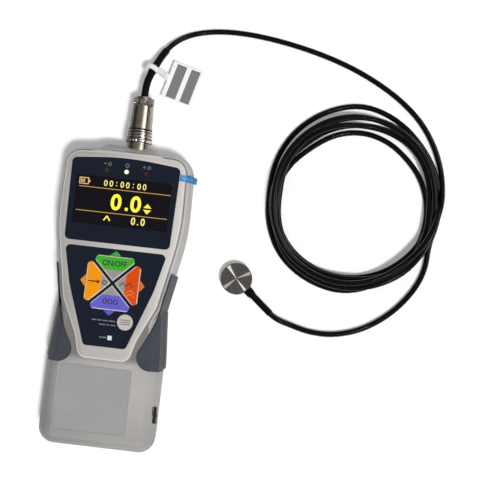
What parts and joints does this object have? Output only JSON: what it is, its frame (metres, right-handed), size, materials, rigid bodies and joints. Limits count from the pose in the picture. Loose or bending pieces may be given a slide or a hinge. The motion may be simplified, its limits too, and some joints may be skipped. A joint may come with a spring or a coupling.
{
  "type": "handheld force gauge",
  "caption": "Handheld digital force gauge with screen, colour keys and rubber grips, and a remote disc load cell on a coiled lead with a screw-coupled plug.",
  "frame": {"origin": "centre of the four mounting holes in the back, on the plane the gauge lies on", "axes": "+Z out of the screen, +Y along the gauge towards the sensor socket, +X to the right of someone who reads the screen"},
  "size_m": [0.217, 0.247, 0.0343],
  "materials": {
    "housing": "satin",
    "grip": "matte",
    "overlay": "satin",
    "lens": "gloss",
    "screen": "gloss",
    "lamp_olive": "gloss",
    "lamp_green": "gloss",
    "lamp_red": "gloss",
    "plate": "satin",
    "film": "gloss",
    "board": "satin",
    "switch": "satin",
    "steel": "satin",
    "cells": "gloss",
    "brass": "satin",
    "nickel": "satin",
    "insulator": "matte",
    "key_green": "satin",
    "key_orange": "satin",
    "key_red": "satin",
    "key_purple": "satin",
    "key_grey": "satin",
    "shrink": "matte",
    "jacket": "satin",
    "cell": "satin",
    "tag": "satin"
  },
  "bodies": {
    "gauge": {"rear_cover": "housing", "front_cover": "housing", "left_grip": "grip", "right_grip": "grip", "display_overlay": "overlay", "display_lens": "lens", "oled_module": "screen", "keypad_overlay": "overlay", "left_lamp": "lamp_olive", "middle_lamp": "lamp_green", "right_lamp": "lamp_red", "label_plate": "plate", "film_tab": "film", "main_board": "board", "key_switches": "switch", "board_screws": "steel", "battery_pack": "cells", "housing_screws": "steel", "mounting_inserts": "brass", "receptacle_shell": "nickel", "receptacle_pins": "insulator", "receptacle_nut": "nickel", "usb_port": "steel"},
    "power_key": {"power_key": "key_green"},
    "send_key": {"send_key": "key_orange"},
    "peak_key": {"peak_key": "key_red"},
    "zero_key": {"zero_key": "key_purple"},
    "menu_key": {"menu_key": "key_grey"},
    "sensor_lead": {"plug_shell": "nickel", "plug_insert": "insulator", "cable_clamp": "nickel", "clamp_screws": "steel", "plug_sleeve": "shrink", "lead_run": "jacket", "lead_coil": "jacket", "lead_tail": "jacket", "sensor_sleeve": "shrink", "cell_gland": "nickel", "load_cell": "cell", "cell_cover": "cell", "load_button": "cell"},
    "coupling_nut": {"coupling_nut": "nickel"},
    "cable_tag": {"cable_tag": "tag"}
  },
  "joints": [
    {"name": "power_press", "type": "slide", "parent": "gauge", "child": "power_key", "axis": [0, 0, -1], "range_m": [0, 0.0005], "stiffness_N_per_m": 400},
    {"name": "send_press", "type": "slide", "parent": "gauge", "child": "send_key", "axis": [0, 0, -1], "range_m": [0, 0.0005], "stiffness_N_per_m": 400},
    {"name": "peak_press", "type": "slide", "parent": "gauge", "child": "peak_key", "axis": [0, 0, -1], "range_m": [0, 0.0005], "stiffness_N_per_m": 400},
    {"name": "zero_press", "type": "slide", "parent": "gauge", "child": "zero_key", "axis": [0, 0, -1], "range_m": [0, 0.0005], "stiffness_N_per_m": 400},
    {"name": "menu_press", "type": "slide", "parent": "gauge", "child": "menu_key", "axis": [0, 0, -1], "range_m": [0, 0.0005], "stiffness_N_per_m": 400},
    {"name": "plug_withdraw", "type": "slide", "parent": "gauge", "child": "sensor_lead", "axis": [0, 1, 0], "range_m": [0, 0.012]},
    {"name": "coupling_nut_turn", "type": "hinge", "parent": "sensor_lead", "child": "coupling_nut", "pos_m": [0.0037, 0.092, 0.0205], "axis": [0, 1, 0], "continuous": true},
    {"name": "tag_swing", "type": "hinge", "parent": "sensor_lead", "child": "cable_tag", "pos_m": [0.00675, 0.1324, 0.01661], "axis": [-0.2803, -0.8543, 0.4378], "range_deg": [0, 80]}
  ]
}
